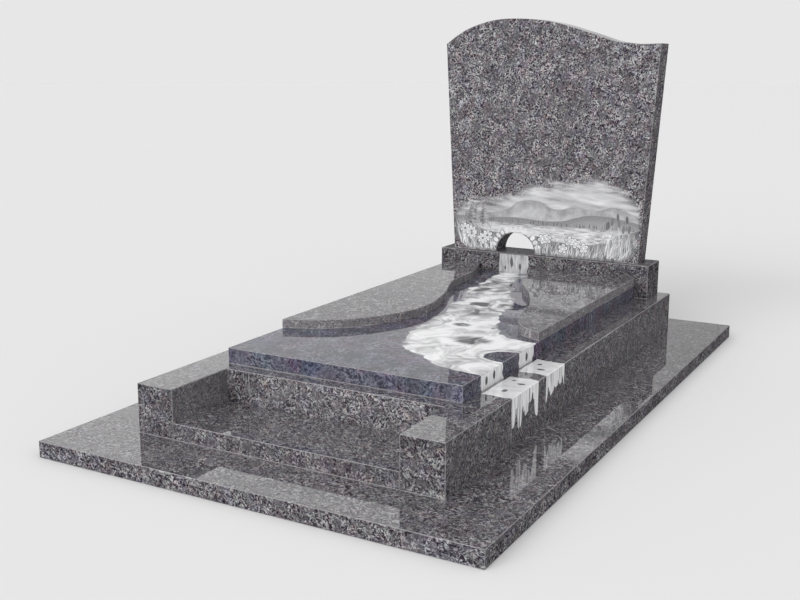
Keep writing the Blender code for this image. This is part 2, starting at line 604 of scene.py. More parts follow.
@dataclass(frozen=True)
class Granite:
    """A granite's mineral grains in three dimensions, and how its faces and arrises are finished.

    Attributes:
        stone: the record's slot.
        body: the feldspar's colour.
        dark: the black mineral between the laths.
        pale: the brightest laths.
        tints: hues of its patches.
        crystal: size of a large crystal, in which all laths lie one way.
        lath: width of a lath.
        slender: how much longer a lath is than wide, as a share taken off its length.
        clumps: number of clumps of paler or darker grains to the metre.
        kinks: number of kinks in the laths to the metre.
        kink: how far a kink puts them out of line.
        worked: colour of a fully honed face, which the paler faces are mixed toward: the arris, and the joint
            strips and some sides as painted light.
        pitted: how much rougher the dark mineral is.
        finishes: its finishes, in the order of the slots.
    """

    stone: Stone
    body: Colour
    dark: Colour
    pale: Colour
    tints: tuple[Tint, ...]
    crystal: float = 0.024
    lath: float = 0.0054
    slender: float = 0.66
    clumps: float = 27.0
    kinks: float = 95.0
    kink: float = 0.012
    worked: Colour = (0.30, 0.29, 0.30)
    pitted: float = 0.01
    finishes: tuple[Finish, ...] = (
        Finish("top", 0.012, 1.81, wax=1.0, mottle=1.0, coarse=1.3),
        Finish("front", 0.030, 1.40),
        side_finish(),
        Finish("bed", 0.350, 1.10),
        # The arris is paler partly from its honing and partly as a painted edge highlight; the joint strip is
        # painted pale as an edge highlight
        Finish("arris", 0.350, 1.50, bloom=0.45),
        Finish("joint", 0.600, 1.30, bloom=0.75),
    )

    def toned(self, tone: float) -> "Granite":
        """The same granite with its colours made paler or darker by a factor."""
        minerals = ("body", "dark", "pale")
        changed = {name: tuple(part * tone for part in getattr(self, name)) for name in minerals}
        return replace(self, **changed)

    def refinished(self, *others: Finish) -> "Granite":
        """The same granite with these finishes in place of its own of the same names."""
        named = {finish.name: finish for finish in (*self.finishes, *others)}
        return replace(self, finishes=tuple(named.values()))

    def minerals(self, sheet: Sheet, offset: Vector, finish: Finish) -> tuple[NodeSocket, Value]:
        """Colour of the stone at each point.

        Args:
            sheet: the material's nodes.
            offset: where in the quarry this block was cut, so that no two blocks match.
            finish: the face's finish.

        Returns:
            The colour, and 1 where the mineral is the dark one.
        """
        point = sheet.node("TexCoord").outputs["Object"]
        place = sheet.node("Mapping", sockets={"Vector": point, "Location": offset}).outputs[0]
        sway = sheet.vector("SUBTRACT", sheet.noise(place, self.kinks, output=1), MIDDLE)
        bent = sheet.vector("ADD", place, sheet.scaled(sway, self.kink))

        scale = 1.0 / (self.crystal * finish.coarse)
        crystal = sheet.node("TexVoronoi", sockets={"Vector": bent, "Scale": scale}).outputs["Color"]
        lean = sheet.vector("NORMALIZE", sheet.vector("SUBTRACT", crystal, MIDDLE))
        along = sheet.value("VectorMath", {"operation": "DOT_PRODUCT"}, {0: bent, 1: lean}, "Value")
        laths = sheet.vector("SUBTRACT", bent, sheet.scaled(lean, along * self.slender))
        grain = sheet.noise(laths, 1.0 / (self.lath * finish.coarse), 3.0, 0.70)

        crowd = sheet.noise(place, self.clumps) - 0.5
        _, _, big = sheet.axes(crystal)
        calm = big.over(0.80, 0.84)
        bright = (grain + crowd * 0.14).over(0.50, 0.64) * (1.0 - calm * 0.40)
        colour = sheet.mix(bright, self.body, self.pale)
        dark = (grain - crowd * 0.10).over(0.493, 0.435) * (1.0 - calm * 0.5)
        colour = sheet.scaled(sheet.mix(dark, colour, self.dark), crowd * finish.mottle + 1.0)
        for number, tint in enumerate(self.tints):
            moved = sheet.vector("ADD", place, (3.1 * number, 1.7 * number, 0.9 * number))
            patch = sheet.noise(moved, tint.patches, 1.5)
            colour = sheet.mix(patch.over(tint.least, tint.full), colour, tint.hue, "MULTIPLY")
        return colour, dark

    def materials(self, name: str, offset: Vector, etching: "Etching | None" = None) -> list[Material]:
        """The materials of one block, one for each finish.

        Args:
            name: what their names start with.
            offset: where in the quarry the block was cut.
            etching: what is etched into it.

        Returns:
            The materials, in the order of the block's slots.
        """
        made = []
        for finish in self.finishes:
            material, sheet = new_material(f"{name}_{finish.name}")
            colour, dark = self.minerals(sheet, offset, finish)
            # Paler faces: the honed arris with a painted edge highlight, and painted light on the joint
            # strips and on some sides
            if finish.bloom:
                colour = sheet.mix(finish.bloom, colour, self.worked)
            roughness = dark * self.pitted + finish.roughness
            if etching:
                colour, roughness = etching.over_stone(sheet, colour, roughness)
            wax = finish.wax * (1.0 - dark * 0.30) if finish.wax else 0.0
            finish_sheet(sheet, colour, roughness, finish.refraction, wax)
            made.append(material)
        return made


def new_material(name: str) -> tuple[Material, Sheet]:
    """An empty material and the sheet for its nodes."""
    material = bpy.data.materials.new(name)
    material.use_nodes = True
    return material, Sheet(material.node_tree)


def finish_sheet(
    sheet: Sheet, colour: object, roughness: Value | float, refraction: float, wax: Value | float = 0.0,
) -> None:
    """End a sheet in its shader.

    Args:
        sheet: the material's nodes.
        colour: colour or colour socket of the surface.
        roughness: its roughness.
        refraction: its index of refraction.
        wax: how much of it is under a film of wax.
    """
    sockets = {"Base Color": colour, "Roughness": roughness, "IOR": refraction, "Coat Weight": wax,
               "Coat Roughness": WAX_ROUGHNESS}
    shader = sheet.node("BsdfPrincipled", sockets=sockets)
    sheet.node("OutputMaterial", sockets={"Surface": shader.outputs[0]})


BROWN = Granite(
    stone=Stone.BROWN,
    body=(0.098, 0.091, 0.101),
    dark=(0.019, 0.014, 0.021),
    pale=(0.294, 0.294, 0.290),
    tints=(
        Tint((1.07, 0.98, 0.99), 30.0),
        Tint((0.94, 1.01, 0.99), 36.0),
        Tint((0.97, 0.97, 1.06), 24.0),
        Tint((1.06, 1.01, 0.95), 50.0, 0.60, 0.70),
    ),
)
BLUE = Granite(
    stone=Stone.BLUE,
    body=(0.085, 0.084, 0.110),
    dark=(0.027, 0.027, 0.038),
    pale=(0.156, 0.157, 0.190),
    tints=(
        Tint((1.18, 0.94, 0.99), 12.0),
        Tint((0.89, 1.02, 1.00), 15.0),
        Tint((0.96, 0.95, 1.10), 10.0),
    ),
    crystal=0.032,
    lath=0.0066,
    clumps=15.0,
).refinished(Finish("top", 0.015, 1.55, wax=0.20, mottle=2.2, coarse=1.3))
# Copies of the brown granite whose sides are painted lighter, as painted light: the banks' curved edges, the
# left kerb's sides with the inner one in the shade of the recess, and the right kerb's sides
BANK_BROWN_LIT_SIDES = BROWN.refinished(Finish("top", 0.030, 1.75, mottle=2.0, coarse=1.3), side_finish(0.28))
RECESS_BROWN_LIT = BROWN.refinished(side_finish(0.24))
OUTER_BROWN_LIT = BROWN.refinished(side_finish(0.08))


@dataclass(frozen=True)
class Etching:
    """Something etched into one stone: a matt and pale skin on its polish.

    Attributes:
        white: colour where the etching is deepest.
        shade: colour where it is faintest.
        matt: how much rougher it is than the polish.
    """

    white: Colour = (0.62, 0.62, 0.63)
    shade: Colour = (0.085, 0.085, 0.090)
    matt: float = 0.38

    def marks(self, sheet: Sheet, x: Value, y: Value, z: Value) -> tuple[Value, Value]:
        """Where the stone is etched, and how pale.

        Args:
            sheet: the material's nodes.
            x: the point's place across the monument.
            y: its place along the monument.
            z: its height.

        Returns:
            1 where the stone is etched, and 0 to 1 for its tone there.
        """
        raise NotImplementedError

    def lines(self, material: Material) -> list[Line]:
        """The lines cut into the face on top of the marks, from the farthest to the nearest. None here."""
        return []

    @staticmethod
    def on_top(z: Value, top: float) -> Value:
        """1 on a stone's top, and 0 on its sides from just under the arris down."""
        return z.over(top - 0.004, top - 0.003)

    @staticmethod
    def on_front(y: Value, front: float) -> Value:
        """1 on a stone's front, and 0 behind it."""
        return y.over(front + 0.001, front)

    def over_stone(self, sheet: Sheet, colour: object, roughness: Value | float) -> tuple[object, Value]:
        """Lay the etching over the stone.

        Args:
            sheet: the material's nodes.
            colour: the bare stone's colour.
            roughness: its roughness.

        Returns:
            The colour and the roughness of the etched stone.
        """
        cover, tone = self.marks(sheet, *sheet.axes(sheet.node("TexCoord").outputs["Object"]))
        skin = sheet.mix(tone, self.shade, self.white)
        return sheet.mix(cover, colour, skin), cover * self.matt + roughness


@dataclass(frozen=True)
class Watercourse(Etching):
    """Water that winds over the tomb slab and leaves it over its right side in two falls.

    Attributes:
        left_bank: the water's left limit, as y and x from the foot end to the headstone.
        right_bank: its right limit.
        island: middle and radii of the dry patch between the two falls.
        eddies: middles and radii of the dark eddies.
        falls: where the two falls cross the slab's side, as y from and to.
        drops: the dark drops in the falls, as y and z.
        drop: their radii.
        top: height of the slab's top.
    """

    white: Colour = (0.80, 0.80, 0.81)
    left_bank: Knots = (
        (-0.590, 0.420), (-0.572, 0.300), (-0.530, 0.190), (-0.460, 0.115), (-0.405, 0.040), (-0.240, -0.018),
        (-0.050, -0.030), (0.100, -0.045), (0.250, -0.095), (0.420, -0.132), (0.620, -0.150), (0.860, -0.172),
    )
    right_bank: Knots = (
        (-0.590, 0.470), (-0.200, 0.470), (-0.178, 0.360), (-0.140, 0.270), (-0.050, 0.220),
        (0.110, 0.170), (0.260, 0.128), (0.400, 0.070), (0.560, -0.004), (0.700, -0.036), (0.860, -0.056),
    )
    island: tuple[Pair, Pair] = ((0.412, -0.371), (0.090, 0.062))
    eddies: Ovals = (
        ((0.215, -0.250), (0.064, 0.050)),
        ((0.095, -0.075), (0.034, 0.024)),
        ((0.010, 0.235), (0.042, 0.034)),
        ((-0.085, 0.470), (0.034, 0.040)),
    )
    falls: Knots = ((-0.583, -0.432), (-0.311, -0.193))
    drops: Knots = ((-0.545, 0.224), (-0.492, 0.228), (-0.250, 0.223))
    drop: Pair = (0.0085, 0.0130)
    top: float = 0.25

    def marks(self, sheet: Sheet, x: Value, y: Value, z: Value) -> tuple[Value, Value]:
        """The water on the top and the two falls on the side."""
        on_top = self.on_top(z, self.top)
        top_cover, top_tone = self.course(sheet, x, y)
        side_cover, side_tone = self.side(sheet, x, y, z)
        return side_cover.blend(top_cover, on_top), side_tone.blend(top_tone, on_top)

    def course(self, sheet: Sheet, x: Value, y: Value) -> tuple[Value, Value]:
        """The water on the slab's top, with ragged banks, ripples across it and a few dark eddies.

        Args:
            sheet: the material's nodes.
            x: the point's place across the monument.
            y: its place along the monument.

        Returns:
            1 where there is water, and 0 to 1 for its tone there.
        """
        ragged = sheet.lumps((x * 8.0, y * 6.0, 3.7), 2.0, 0.6) * 0.14
        fringe = sheet.lumps((x * 26.0, y * 15.0, 8.1), 2.0, 0.6) * 0.045
        left = x - sheet.curve(y, self.left_bank) + ragged + fringe
        right = sheet.curve(y, self.right_bank) - x + ragged - fringe
        dry = sheet.oval(x, y, *self.island) + fringe * 4.0 + ragged * 2.0
        thin = sheet.lumps((x * 9.0, y * 8.0, 6.3)).over(-0.10, 0.12)
        far = y.over(-0.15, 0.30)
        left_cover = (left / (thin * (0.045 + far * 0.030) + 0.003)).over(0.0, 1.0)
        right_cover = (right / (thin * 0.018 + 0.003)).over(0.0, 1.0)
        film = sheet.lumps((x * 11.0, y * 9.0, 4.9)).over(0.02, 0.14) * far * 0.60
        cover = left_cover * right_cover * dry.over(1.0, 1.05) * (1.0 - film)

        swell = sheet.lumps((x * 6.0, y * 5.0, 1.3))
        ripple = sheet.lumps((x * 12.0 + swell * 6.0, y * 9.0 + swell * 6.0, 5.2), 3.0, 0.62)
        gleam = sheet.lumps((x * 30.0 + swell * 12.0, y * 26.0 + swell * 12.0, 2.2), 2.0, 0.6)
        tone = 0.75 - far * 0.15 + swell * (0.35 + far * 0.50) + ripple * (2.3 + far * 1.5) + gleam
        tone = tone - dry.over(1.16, 1.24) * dry.over(1.44, 1.30) * 0.34
        for middle, radii in self.eddies:
            out = sheet.oval(x, y, middle, radii) + ripple * 0.6
            tone = tone + out.over(2.0, 1.5) * out.over(1.0, 1.3) * 0.30 - out.over(1.15, 0.60) * 0.72
        return cover, tone

    def side(self, sheet: Sheet, x: Value, y: Value, z: Value) -> tuple[Value, Value]:
        """The falls over the slab's right side, in upright strands.

        Args:
            sheet: the material's nodes.
            x: the point's place across the monument.
            y: its place along the monument.
            z: its height.

        Returns:
            1 where there is water, and 0 to 1 for its tone there.
        """
        wander = sheet.lumps((z * 34.0, 4.4, y * 9.0)) * (self.top - z) * 1.2
        cover = sum(y.within(fall, wander) for fall in self.falls) * x.over(0.3, 0.39)
        strands = sheet.lumps((y * 150.0, z * 14.0, 0.9))
        tone = 0.76 + strands * 0.88
        for middle in self.drops:
            out = sheet.oval(y, z, middle, self.drop) + strands * 0.4
            tone = tone - out.over(1.1, 0.9) * 0.85
        return cover, tone


@dataclass(frozen=True)
class Spill(Etching):
    """The two pools on the right kerb's top, and the drips that run from them down its side.

    Attributes:
        pools: each pool on the top, as y from and to.
        bare: width of the dry strip along the tomb slab.
        drops: middles and radii of the dark drops in the pools, as x and y.
        inner: x of the tomb slab's side.
        top: height of the kerb's top.
        reach: how far the drips run down the side, as y and length.
        pitch: distance from one drip to the next.
    """

    white: Colour = (0.78, 0.78, 0.79)
    pools: Knots = ((-0.598, -0.395), (-0.336, -0.184))
    bare: float = 0.008
    drops: Ovals = (
        ((0.452, -0.535), (0.0080, 0.0120)),
        ((0.470, -0.455), (0.0120, 0.0075)),
        ((0.436, -0.430), (0.0060, 0.0060)),
        ((0.462, -0.285), (0.0130, 0.0080)),
        ((0.438, -0.235), (0.0070, 0.0090)),
    )
    inner: float = 0.40
    top: float = 0.20
    reach: Knots = (
        (-0.600, 0.132), (-0.530, 0.120), (-0.460, 0.066), (-0.395, 0.112),
        (-0.320, 0.088), (-0.260, 0.060), (-0.180, 0.086),
    )
    pitch: float = 0.039

    def marks(self, sheet: Sheet, x: Value, y: Value, z: Value) -> tuple[Value, Value]:
        """The pools on the top and the drips on the side."""
        on_top = self.on_top(z, self.top)
        wander = sheet.lumps((x * 22.0, y * 12.0, 2.4)) * 0.030
        strands = sheet.lumps((y * 130.0, z * 9.0, 6.6))
        streaks = sheet.lumps((x * 22.0, y * 40.0, 1.9))
        pool = sum(y.within(limits, wander) for limits in self.pools)
        length = sheet.curve(y, self.reach) * self.tooth(sheet, y)
        slit = strands.over(-0.125, -0.145) * (self.top - z).over(0.015, 0.050)
        drips = pool * (z - (self.top - length)).over(0.0, 0.004) * (1.0 - slit) * x.over(0.495, 0.499)
        pool = pool * (x - self.inner - self.bare + wander * 0.3).over(0.0, EDGE)
        tone = 0.90 + streaks * 0.60
        for middle, radii in self.drops:
            out = sheet.oval(x, y, middle, radii) + streaks * 0.5
            tone = tone - out.over(1.1, 0.9) * 0.9
        return drips.blend(pool, on_top), (0.90 + strands * 2.30).blend(tone, on_top)

    def tooth(self, sheet: Sheet, y: Value) -> Value:
        """How far down the drips run.

        Args:
            sheet: the material's nodes.
            y: the place along the kerb.

        Returns:
            The drip's length there, as a share of the drips' reach.
        """
        sockets = {"W": y, "Scale": 1.0 / self.pitch, "Randomness": 0.7}
        cell = sheet.node("TexVoronoi", {"voronoi_dimensions": "1D"}, sockets)
        share = sheet.value("SeparateColor", None, {0: cell.outputs["Color"]})
        aside = sheet.math("MINIMUM", Value(sheet, cell.outputs["Distance"]) * 2.1, 1.0)
        return 0.68 + share * 0.44 - aside ** 4.0 * 0.38


@dataclass(frozen=True)
class Cascade(Etching):
    """The water that falls from the arch down the front of the headstone's base.

    Attributes:
        limits: the fall's left and right side.
        top: where it starts.
        front: y of the face that it is on.
        drops: middles and radii of the dark drops in it, as x and z.
    """

    limits: Pair = (-0.181, -0.050)
    top: float = 0.327
    front: float = 0.853
    drops: Ovals = (
        ((-0.124, 0.294), (0.0085, 0.0190)),
        ((-0.086, 0.279), (0.0060, 0.0120)),
        ((-0.152, 0.268), (0.0045, 0.0085)),
    )

    def marks(self, sheet: Sheet, x: Value, y: Value, z: Value) -> tuple[Value, Value]:
        """The fall, in upright strands."""
        wander = sheet.lumps((x * 10.0, 2.8, z * 38.0)) * 0.016
        strands = sheet.lumps((x * 140.0, 7.3, z * 14.0)) + sheet.lumps((x * 40.0, 5.1, z * 26.0)) * 0.6
        cover = x.within(self.limits, wander) * (self.top - z).over(0.0, 0.001) * self.on_front(y, self.front)
        tone = 0.42 + strands * 0.90
        for middle, radii in self.drops:
            out = sheet.oval(x, z, middle, radii) + strands * 0.7
            tone = tone - out.over(1.20, 0.75) * 0.36
        return cover, tone


@dataclass(frozen=True)
class LakePicture(Etching):
    """The picture round the headstone's arch: a lake under mountains, with low cloud above them.

    Attributes:
        front: y of the face that it is on.
        cloud_top: its upper limit, as x and z.
        half_width: half of its width at each height.
        ridge: the far mountains' skyline, as x and z.
        hills: the skyline of the wooded hills before them.
        water: height of the far shore.
        meadow: the near bank's limit, as x and z.
        arch: middle and radius of the arch.
    """

    shade: Colour = (0.072, 0.072, 0.076)
    front: float = 0.878
    cloud_top: Knots = (
        (-0.420, 0.496), (-0.300, 0.546), (-0.180, 0.574), (-0.060, 0.614),
        (0.060, 0.640), (0.190, 0.656), (0.300, 0.634), (0.370, 0.592), (0.420, 0.550),
    )
    half_width: Knots = (
        (0.330, 0.325), (0.345, 0.360), (0.370, 0.384), (0.420, 0.400), (0.500, 0.404), (0.660, 0.402),
    )
    ridge: Knots = (
        (-0.420, 0.482), (-0.330, 0.500), (-0.240, 0.496), (-0.150, 0.520), (-0.060, 0.556), (0.000, 0.548),
        (0.060, 0.526), (0.140, 0.540), (0.210, 0.530), (0.300, 0.548), (0.360, 0.528), (0.420, 0.510),
    )
    hills: Knots = (
        (-0.420, 0.474), (-0.280, 0.472), (-0.120, 0.480), (0.020, 0.474), (0.140, 0.496),
        (0.240, 0.510), (0.330, 0.500), (0.420, 0.482),
    )
    water: float = 0.455
    meadow: Knots = (
        (-0.420, 0.468), (-0.330, 0.452), (-0.260, 0.420), (-0.200, 0.412), (-0.040, 0.410),
        (0.060, 0.392), (0.160, 0.388), (0.250, 0.402), (0.320, 0.436), (0.420, 0.466),
    )
    arch: tuple[float, float, float] = (ARCH_X, 0.330, ARCH_RADIUS)

    def marks(self, sheet: Sheet, x: Value, y: Value, z: Value) -> tuple[Value, Value]:
        """The soft tones of sky, mountains, hills, lake and meadow, and the lines cut over them."""
        drift = sheet.lumps((x * 7.0, z * 30.0, 4.0), 3.0, 0.6)
        wisp = sheet.lumps((x * 5.0 - z * 9.0, z * 80.0 + x * 12.0, 7.0))
        crag = sheet.lumps((x * 30.0, z * 30.0, 9.0), 3.0, 0.6)
        fine = sheet.lumps((x * 260.0, z * 260.0, 2.0), 2.0, 0.6)
        fade = (sheet.curve(x, self.cloud_top) - z + drift * 0.10 + wisp * 0.03).over(-0.010, 0.048)
        sides = (sheet.curve(z, self.half_width) - (x * x) ** 0.5 + drift * 0.030).over(-0.003, 0.016)
        cover = fade * sides * self.on_front(y, self.front)

        ridge = sheet.curve(x, self.ridge) + crag * 0.012 - z
        sky = 0.57 + drift * 1.05 + wisp * 0.60
        tone = sky.blend(0.33 + crag * 0.7 + ridge.over(0.0, 0.07) * 0.20, ridge.over(0.0, 0.0030))
        hills = sheet.curve(x, self.hills) + crag * 0.006 - z
        tone = tone.blend(0.19 + fine * 0.50 + hills.over(0.0, 0.045) * 0.14, hills.over(0.0, 0.0020))

        swell = sheet.lumps((x * 8.0, z * 60.0, 6.0))
        ripple = sheet.lumps((x * 20.0, z * 150.0 + swell * 6.0, 1.0))
        lake = 0.68 + ripple * 1.5 - (z - (self.water - 0.030)).over(0.0, 0.030) * 0.26
        tone = tone.blend(lake, (self.water - z).over(0.0, 0.0008))
        tuft = sheet.lumps((x * 70.0, z * 28.0, 3.0), 3.0, 0.6)
        near = (sheet.curve(x, self.meadow) - z + tuft * 0.008).over(0.0, 0.0012)
        tone = tone.blend(0.20 + tuft * 1.1, near) + fine * 0.10
        layer = sheet.node("Attribute", {"attribute_name": LINE_LAYER}).outputs["Color"]
        line, cut, _ = sheet.axes(layer)
        return cover.blend(1.0, cut), tone.blend(line + fine * 0.10, cut)

    def motifs(self) -> tuple[Motif, ...]:
        """What stands in the picture, from the farthest to the nearest."""
        x, z, radius = self.arch
        level = math.pi / 2
        firs = Motif(21, 9, (-0.375, -0.245), (0.425, 0.455), (0.055, 0.105), 0.0040, (0.10, 0.25),
                     sway=0.0, curl=0.0)
        cobbles = Ring(17, 15, (x, x), (z, z), (0.0, 0.0), 0.030, (0.14, 0.24), corners=12, slim_tip=0.0,
                       radius=radius + 0.017, size=0.026)
        reeds = Motif(31, 8, (0.270, 0.372), (0.340, 0.350), (0.100, 0.165), 0.0032, (0.60, 0.85),
                      sway=0.10, curl=0.12, slim_tip=0.2)
        daisies = Motif(41, 5, (-0.350, -0.238), (0.338, 0.346), (0.030, 0.090), 0.0030, (0.70, 0.90),
                        sway=0.20, curl=0.4, slim_tip=0.2)
        buttercups = Motif(47, 6, (0.010, 0.240), (0.336, 0.342), (0.020, 0.066), 0.0030, (0.70, 0.90),
                           sway=0.30, curl=0.4, slim_tip=0.2)
        return (
            # Trees on the far shore, and glints on the lake
            Motif(11, 110, (-0.40, 0.40), (0.4545, 0.4575), (0.009, 0.024), 0.0070, (0.04, 0.28), corners=7,
                  sway=0.0, curl=0.0, slim_tip=1.0),
            Motif(12, 60, (-0.22, 0.30), (0.405, 0.450), (0.022, 0.075), 0.0026, (0.80, 1.0), tilt=level,
                  sway=0.02, curl=0.05, slim_tip=0.3, slim_root=0.3),
            firs,
            firs.bearing(Boughs, each=26, width=0.065, tones=(0.02, 0.42), corners=8, slim_tip=0.5),
            # Pebbles at the near shore, and the grass behind the arch
            Motif(13, 26, (0.020, 0.270), (0.398, 0.428), (0.012, 0.028), 0.0060, (0.20, 0.90), tilt=level,
                  sway=0.05, curl=0.1, slim_tip=0.0),
            Motif(14, 90, (-0.395, -0.225), (0.395, 0.440), (0.014, 0.036), 0.0032, (0.25, 0.80), fan=1.4),
            Motif(15, 70, (0.230, 0.392), (0.385, 0.436), (0.016, 0.040), 0.0032, (0.25, 0.80), fan=1.2),
            Motif(16, 110, (-0.385, 0.380), (0.352, 0.386), (0.022, 0.052), 0.0036, (0.20, 0.80), fan=1.2),
            # The arch's stones: a dark joint round each, and then its pale face
            cobbles,
            replace(cobbles, width=0.024, tones=(0.70, 1.0), corners=10, size=0.018),
            reeds,
            reeds.heads(1, 0.0110, 0.032, 0.006, (0.02, 0.14)),
            # The blades beside the reeds, those at the left edge, and the grass between them
            Motif(32, 36, (0.262, 0.385), (0.338, 0.352), (0.055, 0.135), 0.0060, (0.30, 1.0), fan=0.5,
                  sway=0.24),
            Motif(33, 26, (-0.388, -0.330), (0.345, 0.360), (0.045, 0.115), 0.0056, (0.30, 1.0), tilt=-0.10,
                  sway=0.22),
            Motif(19, 130, (-0.345, 0.345), (0.3365, 0.350), (0.022, 0.062), 0.0042, (0.30, 0.95), fan=1.5),
            # The flowers: a dark rim, pale petals, their grey inner part and the eye
            daisies,
            daisies.heads(7, 0.0190, 0.0245, -0.001, (0.10, 0.16), slim_root=0.3),
            daisies.heads(7, 0.0140, 0.0215, -0.002, (0.85, 1.0), slim_root=0.4),
            daisies.heads(7, 0.0070, 0.0150, -0.004, (0.50, 0.65), slim_root=0.4, corners=8),
            daisies.heads(1, 0.0110, 0.0105, 0.0052, (0.12, 0.20), corners=10),
            buttercups,
            buttercups.heads(5, 0.0235, 0.0225, 0.0, (0.08, 0.14), slim_root=0.4),
            buttercups.heads(5, 0.0175, 0.0190, -0.001, (0.80, 1.0), slim_root=0.5),
            buttercups.heads(5, 0.0095, 0.0120, -0.003, (0.45, 0.60), slim_root=0.5, corners=8),
            buttercups.heads(1, 0.0075, 0.0075, 0.0038, (0.90, 1.0), corners=8),
            # The short grass in front
            Motif(20, 70, (-0.330, 0.330), (0.3360, 0.3390), (0.014, 0.034), 0.0046, (0.45, 1.0), fan=1.8),
        )

    def lines(self, material: Material) -> list[Line]:
        """The motifs' lines, as far as they lie on the face and within the picture."""
        drawn = (line for motif in self.motifs() for line in motif.lines(material))
        return [line for line in drawn if all(map(self.holds, line.outline))]

    def holds(self, corner: Vector) -> bool:
        """Whether a point lies on the face, clear of its arrises and of the arch, and within the picture.

        Args:
            corner: the point, as x and z.

        Returns:
            True if it does.
        """
        x, z, radius = self.arch
        (low, start), *rest = self.half_width
        half = start
        for height, wide in rest:
            if low < corner.y:
                half = start + (wide - start) * min((corner.y - low) / (height - low), 1.0)
            low, start = height, wide
        above = corner.y > z + 0.0045
        return above and abs(corner.x) < half + 0.003 and (corner - Vector((x, z))).length > radius + 0.0035


def new_object(name: str, data: bpy.types.ID) -> Object:
    """Add an object to the scene.

    Args:
        name: its name.
        data: its mesh, light or camera.

    Returns:
        The object.
    """
    made = bpy.data.objects.new(name, data)
    bpy.context.scene.collection.objects.link(made)
    return made


def new_piece(name: str, shape: BMesh, materials: Iterable[Material]) -> Object:
    """Turn a shape into an object in the scene, and use the shape up.

    Args:
        name: name of the object and of its mesh.
        shape: the shape.
        materials: the materials for its slots, in order.

    Returns:
        The object.
    """
    mesh = bpy.data.meshes.new(name)
    shape.to_mesh(mesh)
    shape.free()
    for material in materials:
        mesh.materials.append(material)
    return new_object(name, mesh)


def sawn_block(low: Vector, high: Vector) -> BMesh:
    """A rectangular block.

    Args:
        low: its lowest corner.
        high: its highest corner.

    Returns:
        The block, in place.
    """
    shape = bmesh.new()
    scale = Matrix.Diagonal((*(high - low), 1.0))
    bmesh.ops.create_cube(shape, size=1.0, matrix=Matrix.Translation((low + high) / 2) @ scale)
    return shape


def sawn_plate(outline: Sequence[Vector], place: Matrix, thickness: float) -> BMesh:
    """A plate of even thickness.

    Args:
        outline: its corners in its own plane, in order.
        place: turns and moves the plane to its place, with the plate above it.
        thickness: its thickness.

    Returns:
        The plate, in place.
    """
    shape = bmesh.new()
    face = shape.faces.new([shape.verts.new((x, y, 0.0)) for x, y in outline])
    grown = bmesh.ops.extrude_face_region(shape, geom=[face], use_keep_orig=True)
    moved = [item for item in grown["geom"] if isinstance(item, bmesh.types.BMVert)]
    bmesh.ops.translate(shape, vec=(0.0, 0.0, thickness), verts=moved)
    bmesh.ops.transform(shape, matrix=place, verts=shape.verts)
    bmesh.ops.recalc_face_normals(shape, faces=shape.faces)
    return shape


